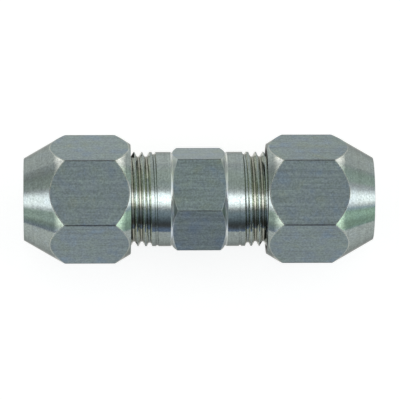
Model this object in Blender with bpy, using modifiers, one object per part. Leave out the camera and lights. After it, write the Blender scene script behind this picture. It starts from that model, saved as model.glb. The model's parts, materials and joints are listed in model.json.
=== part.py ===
"""Straight compression coupling for steel conduit, as nine separate pieces.

A hexagon body carries a threaded spigot at each end. On each spigot a cone-nosed nut pushes a slip
washer and a split grip ring into the cone of the spigot's mouth, so the ring bites on the conduit.
A rubber ring in the socket seals against the conduit. World +X runs along the bore, +Z is up with the
fitting lying on a flat of each nut, and the origin is the middle of the body. Metres throughout.

Every piece of one end is modelled once, in an end frame whose +Z points outwards along the bore from
the middle of the body, and is then placed at both ends.
"""
import math

import bpy

OBJECT_NAME = "conduit_compression_coupling"

# Conduit and thread
CONDUIT_DIAMETER = 0.0160
SOCKET_CLEARANCE = 0.0001
SPIGOT_WALL = 0.0030
THREAD_PITCH = 0.0254 / 14
THREAD_CLEARANCE = 0.0003

# Body
HEX_LENGTH = 0.0122
HEX_DROP = 0.00015
HEX_CHAMFER_ANGLE = math.radians(56)
HEX_TURN = math.radians(11)
SPIGOT_LENGTH = 0.0215
SPIGOT_CHAMFER = 0.0009
STOP_WIDTH = 0.0030
STOP_HEIGHT = 0.0013
CONE_ANGLE = math.radians(12)
MOUTH_WALL = 0.0017

# Seal ring and its groove
SEAL_SECTION = 0.0018
SEAL_BITE = 0.0004
SEAL_SIDE_GAP = 0.0004
SEAL_ROOT_GAP = 0.0002
SEAL_INSET = 0.0041

# Grip ring
RING_LENGTH = 0.0064
RING_TAPER_LENGTH = 0.0040
RING_ENTRY = 0.0014
RING_CLEARANCE = 0.00005
RING_CLOSING_GAP = 0.00005
RING_SLOT = 0.0015
TOOTH_DEPTH = 0.0003
TOOTH_PITCH = 0.0012
TOOTH_COUNT = 3

# Slip washer
WASHER_THICKNESS = 0.0010
SEAT_GAP = 0.0003

# Nut
NUT_LENGTH = 0.02505
NUT_WALL = 0.0018
NUT_CHAMFER_ANGLE = math.radians(31.5)
NUT_CHAMFER_RIM = 0.00025
NUT_LEAD_IN = 0.0007
NUT_RUN_OUT = 0.0005
NOSE_LENGTH = 0.0068
NOSE_ANGLE = math.radians(30)
NOSE_RIM = 0.00146
NOSE_CLEARANCE = 0.0002
NOSE_LEAD_IN = 0.0004
CAVITY_CLEARANCE = 0.00065

# Facets and shading
TURNED_STEPS = 60
SEAL_SECTION_STEPS = 8
SHARP_ANGLE = math.radians(25)
CUTTER_MARGIN = 0.002

# Radii that follow from the driving dimensions
CONDUIT_RADIUS = CONDUIT_DIAMETER / 2
SOCKET_RADIUS = CONDUIT_RADIUS + SOCKET_CLEARANCE
THREAD_RADIUS = SOCKET_RADIUS + SPIGOT_WALL
STOP_RADIUS = SOCKET_RADIUS - STOP_HEIGHT
BODY_APOTHEM = THREAD_RADIUS - HEX_DROP
MOUTH_RADIUS = THREAD_RADIUS - MOUTH_WALL
NUT_BORE_RADIUS = THREAD_RADIUS + THREAD_CLEARANCE
NUT_APOTHEM = NUT_BORE_RADIUS + NUT_WALL
NOSE_BORE_RADIUS = CONDUIT_RADIUS + NOSE_CLEARANCE
NOSE_FACE_RADIUS = NOSE_BORE_RADIUS + NOSE_RIM
NUT_FACE_RADIUS = NUT_APOTHEM - NUT_CHAMFER_RIM
SEAL_INNER_RADIUS = CONDUIT_RADIUS - SEAL_BITE
SEAL_MEAN_RADIUS = SEAL_INNER_RADIUS + SEAL_SECTION / 2
GROOVE_RADIUS = SEAL_INNER_RADIUS + SEAL_SECTION + SEAL_ROOT_GAP
RING_BORE_RADIUS = CONDUIT_RADIUS + RING_CLEARANCE

# Stations along the bore, measured outwards from the middle of the body
TAKE_UP = THREAD_PITCH
STOP_FACE = STOP_WIDTH / 2
HEX_FACE = HEX_LENGTH / 2
SPIGOT_END = HEX_FACE + SPIGOT_LENGTH
CONE_START = SPIGOT_END - (MOUTH_RADIUS - SOCKET_RADIUS) / math.tan(CONE_ANGLE)
GROOVE_START = STOP_FACE + SEAL_INSET
GROOVE_END = GROOVE_START + SEAL_SECTION + 2 * SEAL_SIDE_GAP
RING_TIP = SPIGOT_END - RING_ENTRY
RING_REAR = RING_TIP + RING_LENGTH
WASHER_FRONT = RING_REAR + SEAT_GAP
WASHER_REAR = WASHER_FRONT + WASHER_THICKNESS
SHOULDER = WASHER_REAR + SEAT_GAP
NOSE_END = SHOULDER + NOSE_LENGTH
NUT_FACE = NOSE_END - NUT_LENGTH
NUT_BORE_END = SPIGOT_END + TAKE_UP + NUT_RUN_OUT

# The ring's taper clears the cone by one turn of the nut
RING_TIP_RADIUS = (MOUTH_RADIUS - RING_ENTRY * math.tan(CONE_ANGLE)
                   - TAKE_UP * math.tan(CONE_ANGLE) - RING_CLOSING_GAP)
RING_REAR_RADIUS = RING_TIP_RADIUS + RING_TAPER_LENGTH * math.tan(CONE_ANGLE)
CAVITY_RADIUS = RING_REAR_RADIUS + CAVITY_CLEARANCE
WASHER_RADIUS = CAVITY_RADIUS - SEAT_GAP
WASHER_BORE_RADIUS = NOSE_BORE_RADIUS + NOSE_LEAD_IN


def clear_scene():
    """Remove every object, so that the script starts from an empty scene."""
    for stale in list(bpy.data.objects):
        bpy.data.objects.remove(stale, do_unlink=True)


def new_collection(name):
    """Add a collection to the scene."""
    collection = bpy.data.collections.new(name)
    bpy.context.scene.collection.children.link(collection)
    return collection


def new_material(name, colour, roughness, metallic):
    """A Principled material in one colour."""
    material = bpy.data.materials.new(name)
    material.use_nodes = True
    shader = material.node_tree.nodes["Principled BSDF"]
    shader.inputs["Base Color"].default_value = (*colour, 1.0)
    shader.inputs["Roughness"].default_value = roughness
    shader.inputs["Metallic"].default_value = metallic
    material.diffuse_color = (*colour, 1.0)
    return material


def mirrored(points):
    """The same points on the other half, in the opposite order."""
    return [(radius, -station) for radius, station in reversed(points)]


def add_turning(name, outline, collection, steps=TURNED_STEPS):
    """A shape turned about local Z from an outline of (radius, station) points.

    A ring's outline runs down the outside and back up the bore, and is closed here. A solid's outline
    starts and ends on the axis.
    """
    count = len(outline)
    mesh = bpy.data.meshes.new(name)
    points = [(radius, 0.0, station) for radius, station in outline]
    edges = [(index, index + 1) for index in range(count - 1)]
    if outline[0][0] > 0.0:
        edges.append((count - 1, 0))
    mesh.from_pydata(points, edges, [])
    turning = bpy.data.objects.new(name, mesh)
    collection.objects.link(turning)
    screw = turning.modifiers.new("Turn", "SCREW")
    screw.axis = "Z"
    screw.angle = math.tau
    screw.steps = steps
    screw.render_steps = steps
    screw.use_merge_vertices = True
    screw.merge_threshold = 0.00001
    return turning


def move_to(obj, collection):
    """Put an object in one collection only."""
    for holder in list(obj.users_collection):
        holder.objects.unlink(obj)
    collection.objects.link(obj)


def mark_cutter(obj, collection):
    """Keep a cutting shape out of the model itself."""
    move_to(obj, collection)
    obj.hide_render = True
    obj.display_type = "WIRE"


def add_hex_bar(name, apothem, low, high, collection):
    """A hexagon bar along local Z, with a flat facing local X."""
    bpy.ops.mesh.primitive_cylinder_add(
        vertices=6, radius=apothem / math.cos(math.pi / 6), depth=high - low,
        location=(0.0, 0.0, (low + high) / 2))
    bar = bpy.context.object
    bar.name = name
    mark_cutter(bar, collection)
    return bar


def add_waisted_bar(name, collection):
    """A wide hexagon bar with a waist of the body's own hexagon, turned in six steps.

    The waist cuts the body's flats, which lie a little below the necks on both sides.
    """
    corner = 1 / math.cos(math.pi / 6)
    waist = BODY_APOTHEM * corner
    wide = (THREAD_RADIUS + CUTTER_MARGIN) * corner
    reach = SPIGOT_END + CUTTER_MARGIN
    half = [(0.0, reach), (wide, reach), (wide, HEX_FACE), (waist, HEX_FACE)]
    bar = add_turning(name, half + mirrored(half), collection, steps=6)
    bar.rotation_euler = (0.0, 0.0, HEX_TURN + math.pi / 6)
    mark_cutter(bar, collection)
    return bar


def add_boolean(obj, cutter, operation):
    """Shape an object with a cutter."""
    boolean = obj.modifiers.new(cutter.name, "BOOLEAN")
    boolean.operation = operation
    boolean.solver = "EXACT"
    boolean.object = cutter


def settle(obj, name):
    """Turn an object's modifiers into its mesh, shaded smooth between its sharp edges."""
    bpy.context.view_layer.update()
    evaluated = obj.evaluated_get(bpy.context.evaluated_depsgraph_get())
    mesh = bpy.data.meshes.new_from_object(evaluated)
    mesh.name = name
    mesh.shade_smooth()
    mesh.set_sharp_from_angle(angle=SHARP_ANGLE)
    bpy.data.objects.remove(obj, do_unlink=True)
    return mesh


def body_half_outline():
    """The outside and the bore of one half of the body, from the spigot's mouth inwards."""
    blank_radius = BODY_APOTHEM / math.cos(math.pi / 6) + CUTTER_MARGIN
    chamfer_run = (blank_radius - THREAD_RADIUS) / math.tan(HEX_CHAMFER_ANGLE)
    outside = [
        (THREAD_RADIUS - SPIGOT_CHAMFER, SPIGOT_END),
        (THREAD_RADIUS, SPIGOT_END - SPIGOT_CHAMFER),
        (THREAD_RADIUS, HEX_FACE),
        (blank_radius, HEX_FACE - chamfer_run),
    ]
    bore = [
        (MOUTH_RADIUS, SPIGOT_END),
        (SOCKET_RADIUS, CONE_START),
        (SOCKET_RADIUS, GROOVE_END),
        (GROOVE_RADIUS, GROOVE_END),
        (GROOVE_RADIUS, GROOVE_START),
        (SOCKET_RADIUS, GROOVE_START),
        (SOCKET_RADIUS, STOP_FACE),
        (STOP_RADIUS, STOP_FACE),
    ]
    return outside, bore


def make_body_mesh(cutters):
    """A turned blank, cut to a hexagon between its two spigots."""
    outside, bore = body_half_outline()
    outline = outside + mirrored(outside) + mirrored(list(reversed(bore))) + list(reversed(bore))
    blank = add_turning("body_blank", outline, cutters)
    add_boolean(blank, add_waisted_bar("body_hex_bar", cutters), "INTERSECT")
    return settle(blank, "coupling_body")


def make_nut_mesh(cutters):
    """A turned blank with a cone at each end and a stepped bore, cut to a hexagon."""
    blank_radius = NUT_APOTHEM / math.cos(math.pi / 6) + CUTTER_MARGIN
    nose_run = (blank_radius - NOSE_FACE_RADIUS) / math.tan(NOSE_ANGLE)
    chamfer_run = (blank_radius - NUT_FACE_RADIUS) / math.tan(NUT_CHAMFER_ANGLE)
    outline = [
        (NOSE_FACE_RADIUS, NOSE_END),
        (blank_radius, NOSE_END - nose_run),
        (blank_radius, NUT_FACE + chamfer_run),
        (NUT_FACE_RADIUS, NUT_FACE),
        (NUT_BORE_RADIUS + NUT_LEAD_IN, NUT_FACE),
        (NUT_BORE_RADIUS, NUT_FACE + NUT_LEAD_IN),
        (NUT_BORE_RADIUS, NUT_BORE_END),
        (CAVITY_RADIUS, NUT_BORE_END),
        (CAVITY_RADIUS, SHOULDER),
        (NOSE_BORE_RADIUS, SHOULDER),
        (NOSE_BORE_RADIUS, NOSE_END - NOSE_LEAD_IN),
        (NOSE_BORE_RADIUS + NOSE_LEAD_IN, NOSE_END),
    ]
    blank = add_turning("nut_blank", outline, cutters)
    bar = add_hex_bar("nut_hex_bar", NUT_APOTHEM, NUT_FACE - CUTTER_MARGIN,
                      NOSE_END + CUTTER_MARGIN, cutters)
    add_boolean(blank, bar, "INTERSECT")
    return settle(blank, "compression_nut")


def make_washer_mesh(cutters):
    """A flat ring."""
    outline = [
        (WASHER_RADIUS, WASHER_REAR),
        (WASHER_RADIUS, WASHER_FRONT),
        (WASHER_BORE_RADIUS, WASHER_FRONT),
        (WASHER_BORE_RADIUS, WASHER_REAR),
    ]
    return settle(add_turning("washer_blank", outline, cutters), "slip_washer")


def make_grip_ring_mesh(cutters):
    """A tapered ring with saw teeth in its bore, split by one slot."""
    outline = [
        (RING_REAR_RADIUS, RING_REAR),
        (RING_REAR_RADIUS, RING_TIP + RING_TAPER_LENGTH),
        (RING_TIP_RADIUS, RING_TIP),
        (RING_BORE_RADIUS, RING_TIP),
    ]
    for tooth in range(1, TOOTH_COUNT + 1):
        edge = RING_TIP + tooth * TOOTH_PITCH
        outline.append((RING_BORE_RADIUS + TOOTH_DEPTH, edge))
        outline.append((RING_BORE_RADIUS, edge))
    outline.append((RING_BORE_RADIUS, RING_REAR))
    blank = add_turning("ring_blank", outline, cutters)

    low = RING_TIP - CUTTER_MARGIN
    high = RING_REAR + CUTTER_MARGIN
    reach = RING_REAR_RADIUS + CUTTER_MARGIN
    bpy.ops.mesh.primitive_cube_add(size=1.0, location=(0.0, reach / 2, (low + high) / 2))
    slot = bpy.context.object
    slot.name = "ring_slot"
    slot.scale = (RING_SLOT, reach, high - low)
    mark_cutter(slot, cutters)
    add_boolean(blank, slot, "DIFFERENCE")
    return settle(blank, "grip_ring")


def make_seal_mesh(cutters):
    """A rubber ring of round section."""
    bpy.ops.mesh.primitive_torus_add(
        major_segments=TURNED_STEPS, minor_segments=SEAL_SECTION_STEPS,
        major_radius=SEAL_MEAN_RADIUS, minor_radius=SEAL_SECTION / 2,
        location=(0.0, 0.0, (GROOVE_START + GROOVE_END) / 2))
    torus = bpy.context.object
    move_to(torus, cutters)
    bpy.ops.object.transform_apply(location=True, rotation=False, scale=False)
    return settle(torus, "seal_ring")


def add_end_frame(name, direction, collection):
    """An empty on the bore's axis, whose local Z points outwards at one end of the body."""
    frame = bpy.data.objects.new(name, None)
    frame.rotation_euler = (0.0, direction * math.pi / 2, 0.0)
    collection.objects.link(frame)
    return frame


def place(name, mesh, material, frame, collection):
    """Add a piece that sits in an end frame, with its own material."""
    piece = bpy.data.objects.new(name, mesh)
    piece.parent = frame
    collection.objects.link(piece)
    if not mesh.materials:
        mesh.materials.append(material)
    return piece


def main():
    """Build the coupling."""
    clear_scene()
    parts = new_collection(OBJECT_NAME)
    cutters = new_collection("cutters")

    zinc = new_material("zinc_plated_steel", (0.42, 0.45, 0.46), 0.32, 1.0)
    hard_steel = new_material("hardened_steel", (0.30, 0.30, 0.31), 0.38, 1.0)
    bright_steel = new_material("bright_steel", (0.55, 0.55, 0.54), 0.28, 1.0)
    rubber = new_material("nitrile_rubber", (0.02, 0.02, 0.02), 0.6, 0.0)

    frames = {
        "left": add_end_frame("left_end", -1.0, parts),
        "right": add_end_frame("right_end", 1.0, parts),
    }
    place("coupling_body", make_body_mesh(cutters), zinc, frames["left"], parts)
    end_pieces = {
        "compression_nut": (make_nut_mesh(cutters), zinc),
        "slip_washer": (make_washer_mesh(cutters), bright_steel),
        "grip_ring": (make_grip_ring_mesh(cutters), hard_steel),
        "seal_ring": (make_seal_mesh(cutters), rubber),
    }
    for side, frame in frames.items():
        for piece, (mesh, material) in end_pieces.items():
            place(f"{side}_{piece}", mesh, material, frame, parts)


main()
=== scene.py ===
"""Looks of the conduit compression coupling.

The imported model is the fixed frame. Each of its nine pieces is modelled again here with broken edges, cut
threads and tool marks, and takes the place of its plain solid. Metres throughout: +X runs along the bore
towards the right nut, and +Z is up. The pieces of one end are modelled at the right end and copied to the
left end, turned half a turn about Y, so that both threads stay right-handed.
"""
import json
import logging
import math
from contextlib import contextmanager
from dataclasses import dataclass, field
from enum import Enum
from typing import Callable, Iterator, Sequence

import bmesh
import bpy
from mathutils import Matrix, Vector

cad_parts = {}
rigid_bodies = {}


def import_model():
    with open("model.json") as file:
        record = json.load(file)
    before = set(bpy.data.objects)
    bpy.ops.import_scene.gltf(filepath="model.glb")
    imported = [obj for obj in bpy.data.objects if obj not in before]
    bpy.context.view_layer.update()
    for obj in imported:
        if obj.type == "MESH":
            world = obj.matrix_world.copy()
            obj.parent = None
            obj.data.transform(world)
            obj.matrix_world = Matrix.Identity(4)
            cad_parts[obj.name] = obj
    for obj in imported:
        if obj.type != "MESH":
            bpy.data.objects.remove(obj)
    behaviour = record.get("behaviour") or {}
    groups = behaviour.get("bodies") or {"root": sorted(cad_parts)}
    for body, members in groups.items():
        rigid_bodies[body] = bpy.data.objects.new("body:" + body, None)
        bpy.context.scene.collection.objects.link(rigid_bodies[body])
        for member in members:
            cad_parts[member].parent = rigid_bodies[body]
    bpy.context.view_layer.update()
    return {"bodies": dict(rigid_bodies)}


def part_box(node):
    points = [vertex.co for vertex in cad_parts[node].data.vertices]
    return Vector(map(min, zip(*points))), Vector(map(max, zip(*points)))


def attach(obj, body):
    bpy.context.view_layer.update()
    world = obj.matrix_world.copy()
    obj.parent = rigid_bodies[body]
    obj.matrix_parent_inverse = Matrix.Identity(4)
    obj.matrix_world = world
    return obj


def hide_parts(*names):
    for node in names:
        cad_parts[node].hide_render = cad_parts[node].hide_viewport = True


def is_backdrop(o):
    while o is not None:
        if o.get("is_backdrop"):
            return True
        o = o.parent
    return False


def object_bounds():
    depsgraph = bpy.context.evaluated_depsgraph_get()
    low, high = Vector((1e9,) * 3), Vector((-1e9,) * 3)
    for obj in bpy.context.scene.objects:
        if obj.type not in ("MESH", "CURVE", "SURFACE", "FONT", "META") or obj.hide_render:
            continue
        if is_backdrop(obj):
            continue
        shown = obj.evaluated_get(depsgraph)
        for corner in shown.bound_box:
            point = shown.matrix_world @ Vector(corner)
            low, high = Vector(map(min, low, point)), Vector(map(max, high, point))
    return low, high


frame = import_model()

Piece = bpy.types.Object
Socket = bpy.types.NodeSocket
Face = bmesh.types.BMFace
Edge = bmesh.types.BMEdge
FaceTest = Callable[[Face], bool]
EdgeTest = Callable[[Edge], bool]
VertTest = Callable[[bmesh.types.BMVert], bool]
Inputs = dict[str | int, object]
Colour = tuple[float, float, float]
Point = tuple[float, float]
# A value that changes between two places: its value at each of them, then the two places.
Fade = tuple[float, float, float, float]

LOG = logging.getLogger("coupling")
MM = 0.001
HEX_CORNER = 1 / math.cos(math.pi / 6)
TURN_STEPS = 192
COIL_STEPS = 96
FILLET_STEPS = 4
SMOOTH_ANGLE = math.radians(30)
FLAT_WEIGHT = 80
# Points closer than MERGE are one point, those within ON_PLANE of a plane lie on it, and a cutter or a blank
# reaches CLEAR past the metal.
MERGE = 0.0005 * MM
ON_PLANE = 10 * MERGE
CLEAR = 2.0 * MM
# A normal's share along the bore: under LEVEL on a face that runs along it, over STEEP on one across it.
LEVEL = 0.02
STEEP = 0.5
# A face that is NEAR a size has that size, and faces within SKIN of a piece's end or root belong to it.
NEAR = 0.02 * MM
SKIN = 0.05 * MM
# The usual roundings of turned edges.
FINE = 0.1 * MM
SOFT = 0.15 * MM
# The part of a noise pattern's range that holds most of its values.
NOISE_RANGE = (0.3, 0.7)

# The finishes' noise patterns in waves to the metre, and how tool marks are drawn out.
FINE_MARKS = 5200.0
BROAD_MARKS = 1300.0
CRYSTALS = 2300.0
CLOUDS = 290.0
TURNING_MARKS = 4200.0
OIL_PATCHES = 260.0
MOULD_GRAIN = 7000.0
DUST_PATCHES = 420.0
FINE_SHARE = 0.55
DRAWN_PULL = 0.03
TURNED_PULL = 0.3 * MM

# The light tent's tints, and its panels: degrees about the bore from +Z towards +Y, brightness and tint.
PLAIN: Colour = (1.0, 1.0, 1.0)
COOL: Colour = (0.84, 1.0, 1.12)
BLUE: Colour = (0.74, 0.94, 1.36)
OLIVE: Colour = (0.96, 1.03, 0.94)
GREEN: Colour = (0.9, 1.05, 0.92)
LEAF: Colour = (0.82, 1.09, 0.86)
TENT_MIDDLE = (
    (-94, 0.36, BLUE), (-86, 0.4, BLUE), (-80, 0.15, PLAIN), (-72, 0.1, PLAIN), (-62, 0.16, COOL),
    (-50, 0.4, COOL), (-38, 0.56, COOL), (-30, 0.34, PLAIN), (-20, 0.12, PLAIN), (12, 0.12, PLAIN),
    (22, 0.56, OLIVE), (35, 0.74, OLIVE), (60, 0.8, OLIVE), (90, 0.82, PLAIN),
)
TENT_STRIP = (
    (-35, 0.0, PLAIN), (-28, 0.55, PLAIN), (-20, 2.5, PLAIN), (-12, 3.6, PLAIN), (-2, 3.6, PLAIN),
    (5, 2.8, PLAIN), (12, 1.1, PLAIN), (18, 0.45, PLAIN), (25, 0.2, PLAIN), (33, 0.0, PLAIN),
)
TENT_LEFT = (
    (-94, 0.52, PLAIN), (-84, 0.5, GREEN), (-75, 0.62, GREEN), (-66, 0.84, GREEN), (-56, 0.72, GREEN),
    (-45, 0.76, GREEN), (-35, 1.45, PLAIN), (-25, 2.45, PLAIN), (-13, 2.42, PLAIN), (-1, 2.4, PLAIN),
    (10, 1.66, PLAIN), (21, 0.8, PLAIN), (31, 0.62, OLIVE), (51, 0.56, OLIVE), (61, 0.48, OLIVE),
    (71, 0.42, PLAIN), (80, 0.36, PLAIN), (96, 0.3, PLAIN),
)
TENT_RIGHT = (
    (-97, 0.76, LEAF), (-87, 0.7, LEAF), (-78, 0.64, LEAF), (-68, 0.86, LEAF), (-58, 0.98, LEAF),
    (-48, 0.86, LEAF), (-38, 0.84, COOL), (-27, 1.6, PLAIN), (-16, 2.45, PLAIN), (-5, 2.6, PLAIN),
    (6, 2.6, PLAIN), (17, 1.85, PLAIN), (28, 1.1, PLAIN), (39, 0.86, PLAIN), (49, 0.78, GREEN),
    (68, 0.72, GREEN), (77, 0.66, GREEN), (98, 0.6, PLAIN),
)


class End(Enum):
    """The two ends of the fitting."""

    LEFT = "left"
    RIGHT = "right"

    def named(self, piece: str) -> str:
        """The name of one end's piece."""
        return f"{self.value}_{piece}"


class Lay(Enum):
    """The direction that tool marks run in."""

    ALONG = "drawn along the bore"
    AROUND = "turned round the bore"


class Keep(Enum):
    """What a cutter leaves of a piece."""

    INSIDE = "INTERSECT"
    OUTSIDE = "DIFFERENCE"


class Pick(Enum):
    """What is selected in a mesh."""

    VERTS = "VERT"
    EDGES = "EDGE"
    FACES = "FACE"


@dataclass(frozen=True)
class Corner:
    """A corner of a turned outline: its station along the bore, its radius and its rounding."""

    station: float
    radius: float
    fillet: float = 0.0

    @property
    def place(self) -> Vector:
        """The corner as a flat vector."""
        return Vector((self.station, self.radius))


def measured(node: str, corner: int, axis: str) -> float:
    """A field that is read from the low (0) or high (1) corner of the box of one of the frame's solids."""
    return field(default_factory=lambda: getattr(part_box(node)[corner], axis))


def rounded(corners: Sequence[Corner]) -> list[Point]:
    """Round the corners of a closed outline.

    Args:
        corners: The outline's corners in order.

    Returns:
        The outline's points as (station, radius).
    """
    points: list[Point] = []
    for index, corner in enumerate(corners):
        here = corner.place
        if corner.fillet == 0.0:
            points.append((here.x, here.y))
            continue
        back = (corners[index - 1].place - here).normalized()
        onward = (corners[(index + 1) % len(corners)].place - here).normalized()
        half = back.angle(onward) / 2
        centre = here + (back + onward).normalized() * (corner.fillet / math.sin(half))
        first = here + back * (corner.fillet / math.tan(half)) - centre
        last = here + onward * (corner.fillet / math.tan(half)) - centre
        sweep = first.angle_signed(last)
        for step in range(FILLET_STEPS + 1):
            arm = Matrix.Rotation(-sweep * step / FILLET_STEPS, 2) @ first
            points.append((centre.x + arm.x, centre.y + arm.y))
    return points


def clear_selection() -> None:
    """Go to object mode with nothing selected."""
    if bpy.context.mode != "OBJECT":
        bpy.ops.object.mode_set(mode="OBJECT")
    bpy.ops.object.select_all(action="DESELECT")


def take(piece: Piece) -> None:
    """Make one piece the only selected object, and the active one."""
    clear_selection()
    piece.select_set(True)
    bpy.context.view_layer.objects.active = piece


@contextmanager
def editing(piece: Piece) -> Iterator[None]:
    """Work on one piece in edit mode, with nothing of it selected at first.

    Args:
        piece: The object to edit.
    """
    take(piece)
    bpy.ops.object.mode_set(mode="EDIT")
    bpy.ops.mesh.select_mode(type="VERT")
    bpy.ops.mesh.select_all(action="DESELECT")
    yield
    bpy.ops.object.mode_set(mode="OBJECT")


def select(piece: Piece, kind: Pick, test: FaceTest | EdgeTest | VertTest) -> int:
    """Select the parts of a mesh that pass a test, in edit mode.

    Args:
        piece: The object in edit mode.
        kind: What is selected.
        test: What it has to be.

    Returns:
        The number selected.
    """
    bpy.ops.mesh.select_mode(type=kind.value)
    bpy.ops.mesh.select_all(action="DESELECT")
    mesh = bmesh.from_edit_mesh(piece.data)
    chosen = [item for item in getattr(mesh, kind.name.lower()) if test(item)]
    for item in chosen:
        item.select_set(True)
    bmesh.update_edit_mesh(piece.data)
    return len(chosen)


def radius_of(point: Vector) -> float:
    """The distance of a point from the bore's axis."""
    return math.hypot(point.y, point.z)


def spot(face: Face) -> Point:
    """The station and the radius of a face's middle."""
    middle = face.calc_center_median()
    return middle.x, radius_of(middle)


def faces_out(face: Face) -> float:
    """How far a face looks away from the bore's axis, from -1 to 1."""
    middle = face.calc_center_median()
    return (face.normal.y * middle.y + face.normal.z * middle.z) / max(radius_of(middle), MERGE)


def is_sharp(edge: Edge, angle: float) -> bool:
    """Whether an edge's two faces meet at an angle or more."""
    return len(edge.link_faces) == 2 and edge.calc_face_angle(0.0) >= angle


def draw_outline(name: str, outline: Sequence[Point], angle: float = 0.0) -> Piece:
    """Draw a closed outline point by point in a plane through the bore's axis.

    Args:
        name: The new object's name.
        outline: Points as (station, radius).
        angle: The plane's turn from +Y towards +Z.

    Returns:
        An object with the outline's edges.
    """
    places = [Vector((x, r * math.cos(angle), r * math.sin(angle))) for x, r in outline]
    clear_selection()
    bpy.ops.mesh.primitive_plane_add(size=MM, location=places[0])
    piece = bpy.context.object
    piece.name = name
    bpy.ops.object.transform_apply(location=True, rotation=False, scale=False)
    with editing(piece):
        bpy.ops.mesh.select_all(action="SELECT")
        bpy.ops.mesh.merge(type="CENTER")
        for here, there in zip(places, places[1:] + places[:1]):
            bpy.ops.mesh.extrude_vertices_move(TRANSFORM_OT_translate={"value": there - here})
        bpy.ops.mesh.select_all(action="SELECT")
        bpy.ops.mesh.remove_doubles(threshold=MERGE)
    return piece


def close_up(piece: Piece) -> None:
    """Merge a piece's doubles and point its faces outwards."""
    with editing(piece):
        bpy.ops.mesh.select_all(action="SELECT")
        bpy.ops.mesh.remove_doubles(threshold=MERGE)
        bpy.ops.mesh.normals_make_consistent(inside=False)


def turned(name: str, corners: Sequence[Corner], angle: float = 0.0) -> Piece:
    """Turn a closed outline round the bore's axis.

    Args:
        name: The new object's name.
        corners: The outline's corners.
        angle: Where the turning starts, from +Y towards +Z.

    Returns:
        A closed ring.
    """
    piece = draw_outline(name, rounded(corners), angle)
    with editing(piece):
        bpy.ops.mesh.select_all(action="SELECT")
        bpy.ops.mesh.spin(steps=TURN_STEPS, angle=math.tau, center=(0.0, 0.0, 0.0),
                          axis=(1.0, 0.0, 0.0), use_auto_merge=True)
    close_up(piece)
    return piece


def apply_all(piece: Piece) -> None:
    """Apply every modifier of a piece in order."""
    take(piece)
    for modifier in list(piece.modifiers):
        bpy.ops.object.modifier_apply(modifier=modifier.name)


def cut(piece: Piece, cutter: Piece, keep: Keep) -> None:
    """Shape a piece with a cutter, and remove the cutter.

    Args:
        piece: The object to shape.
        cutter: A closed mesh.
        keep: What is left of the piece.
    """
    boolean = piece.modifiers.new("cut", "BOOLEAN")
    boolean.operation = keep.value
    boolean.solver = "EXACT"
    boolean.object = cutter
    apply_all(piece)
    bpy.data.objects.remove(cutter, do_unlink=True)
    close_up(piece)


def break_edges(piece: Piece, test: EdgeTest, width: float, clamp: bool = False) -> None:
    """Round the edges that pass a test.

    Args:
        piece: The object to work on.
        test: What an edge has to be.
        width: How far the rounding reaches from the edge.
        clamp: Whether it stops at its neighbours.
    """
    with editing(piece):
        count = select(piece, Pick.EDGES, test)
        bpy.ops.mesh.bevel(offset=width, offset_type="OFFSET", segments=2, profile=0.5, clamp_overlap=clamp)
    close_up(piece)
    LOG.info("%s: %d edges broken", piece.name, count)


def smoothed(piece: Piece) -> Piece:
    """Shade a finished piece smooth between its sharp edges, with its flats kept flat.

    Args:
        piece: The finished piece.

    Returns:
        The same piece.
    """
    close_up(piece)
    take(piece)
    bpy.ops.object.shade_smooth_by_angle(angle=SMOOTH_ANGLE)
    weighted = piece.modifiers.new("flat flats", "WEIGHTED_NORMAL")
    weighted.keep_sharp = True
    weighted.weight = FLAT_WEIGHT
    apply_all(piece)
    return piece


@dataclass(frozen=True)
class Hexagon:
    """A hexagon bar along the bore, and the faces that it leaves on a piece.

    Attributes:
        apothem: Half of the distance across flats.
        rounding: The radius of the bar's long edges.
        turn: The bar's turn about its axis, from +Z towards +Y.
        edge_band: How deep under a sharp corner the rounding's faces lie.
        end_band: How deep under a flat its end edges may lie.
        end_angle: The least angle of an edge that is broken.
    """

    apothem: float
    rounding: float
    turn: float = 0.0
    edge_band: float = 0.2 * MM
    end_band: float = 0.01 * MM
    end_angle: float = math.radians(14)

    @property
    def corner(self) -> float:
        """The radius of the bar's sharp corners."""
        return self.apothem * HEX_CORNER

    def bar(self, name: str, low: float, high: float) -> Piece:
        """Make the bar, which has a flat up and a corner towards +Y before its turn.

        Args:
            name: The new object's name.
            low: The station of one end.
            high: The station of the other end.

        Returns:
            The closed bar.
        """
        clear_selection()
        bpy.ops.mesh.primitive_cylinder_add(vertices=6, radius=self.corner, depth=high - low,
                                            location=((low + high) / 2, 0.0, 0.0),
                                            rotation=(0.0, math.pi / 2, 0.0))
        bar = bpy.context.object
        bar.name = name
        bpy.ops.object.transform_apply(location=True, rotation=True, scale=True)
        bar.rotation_euler = (-self.turn, 0.0, 0.0)
        bpy.ops.object.transform_apply(location=False, rotation=True, scale=False)
        with editing(bar):
            select(bar, Pick.EDGES, lambda edge: abs(edge.verts[0].co.x - edge.verts[1].co.x) > CLEAR)
            width = self.rounding * math.tan(math.pi / 6)
            bpy.ops.mesh.bevel(offset=width, offset_type="OFFSET", segments=FILLET_STEPS, profile=0.5)
        return bar

    def is_flat(self, face: Face) -> bool:
        """Whether a face lies on one of the flats."""
        middle = face.calc_center_median()
        return abs(face.normal.x) < LEVEL and abs(middle.dot(face.normal) - self.apothem) < NEAR

    def is_rounding(self, face: Face) -> bool:
        """Whether a face rounds the edge between two flats."""
        return abs(face.normal.x) < LEVEL and spot(face)[1] > self.corner - self.edge_band

    def is_end(self, edge: Edge) -> bool:
        """Whether an edge is a sharp one where a flat ends."""
        middle = (edge.verts[0].co + edge.verts[1].co) / 2
        return is_sharp(edge, self.end_angle) and radius_of(middle) > self.apothem - self.end_band


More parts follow.
